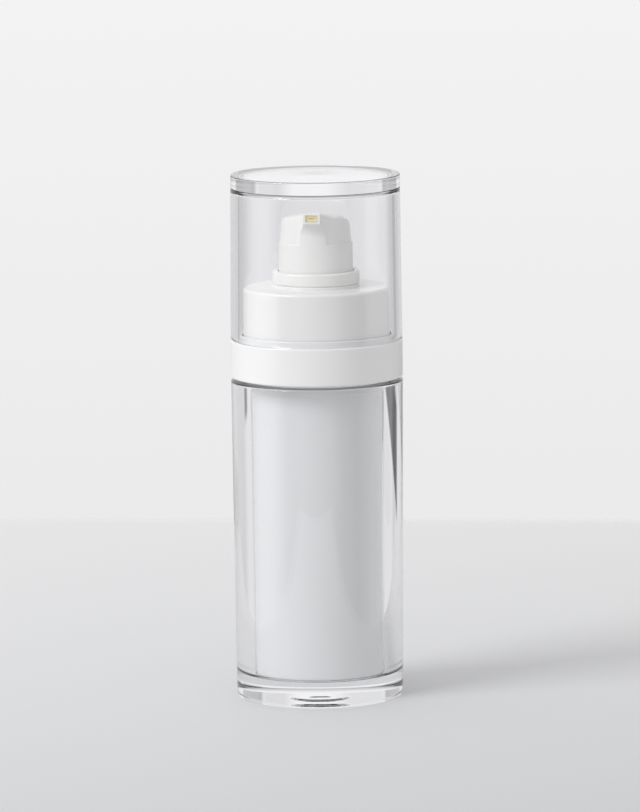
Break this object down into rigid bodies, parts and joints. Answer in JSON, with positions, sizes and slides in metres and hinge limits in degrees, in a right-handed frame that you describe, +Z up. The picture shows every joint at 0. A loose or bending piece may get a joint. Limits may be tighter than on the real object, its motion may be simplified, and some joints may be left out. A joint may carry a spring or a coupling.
{
  "type": "airless pump bottle",
  "caption": "Clear double-wall airless pump bottle with a white inner container, a white press-down dispenser head with a beak nozzle and a clear pull-off cap",
  "frame": {"origin": "centre of the foot, on the table", "axes": "+Z up along the bottle's axis, -Y the way the nozzle points at rest, +X to the nozzle's left hand side seen from behind it"},
  "size_m": [0.038, 0.038, 0.116],
  "materials": {
    "clear_plastic": "polished, transparent",
    "white_plastic": "smooth, semi-gloss white",
    "natural_plastic": "smooth, natural translucent white",
    "pale_yellow_elastomer": "soft matte",
    "stainless_steel": "bright drawn wire and polished ball"
  },
  "bodies": {
    "bottle": {"outer_bottle": "clear_plastic", "inner_bottle": "white_plastic", "shoulder_ring": "white_plastic"},
    "gasket": {"neck_gasket": "natural_plastic"},
    "pump": {"closure": "white_plastic", "actuator_collar": "white_plastic", "pump_housing": "natural_plastic", "stem_guide": "natural_plastic", "return_spring": "stainless_steel"},
    "plunger": {"lower_stem": "natural_plastic", "upper_stem": "natural_plastic", "valve_rod": "natural_plastic"},
    "head": {"actuator": "white_plastic", "nozzle_plug": "pale_yellow_elastomer"},
    "seal": {"piston_seal": "natural_plastic"},
    "ball": {"inlet_ball": "stainless_steel"},
    "follower": {"follower_piston": "natural_plastic"},
    "cap": {"overcap": "clear_plastic"}
  },
  "joints": [
    {"name": "cap_lift", "type": "slide", "parent": "bottle", "child": "cap", "axis": [0, 0, 1], "range_m": [0, 0.06]},
    {"name": "closure_rise", "type": "slide", "parent": "bottle", "child": "gasket", "axis": [0, 0, 1], "range_m": [0, 0.00375]},
    {"name": "closure_turn", "type": "hinge", "parent": "gasket", "child": "pump", "pos_m": [0, 0, 0.0889], "axis": [0, 0, 1], "range_deg": [0, 450]},
    {"name": "pump_stroke", "type": "slide", "parent": "pump", "child": "plunger", "axis": [0, 0, -1], "range_m": [0, 0.005], "stiffness_N_per_m": 800, "springref_m": -0.008, "deforming": ["return_spring"]},
    {"name": "head_swivel", "type": "hinge", "parent": "plunger", "child": "head", "pos_m": [0, 0, 0.1021], "axis": [0, 0, 1], "continuous": true},
    {"name": "seal_slip", "type": "slide", "parent": "plunger", "child": "seal", "axis": [0, 0, 1], "range_m": [0, 0.00075]},
    {"name": "ball_lift", "type": "slide", "parent": "pump", "child": "ball", "axis": [0, 0, 1], "range_m": [0, 0.0015]},
    {"name": "follower_rise", "type": "slide", "parent": "bottle", "child": "follower", "axis": [0, 0, 1], "range_m": [0, 0.057]}
  ],
  "couplings": [
    {"joint": "closure_rise", "follows": "closure_turn", "m_per_rad": 0.00047746}
  ]
}
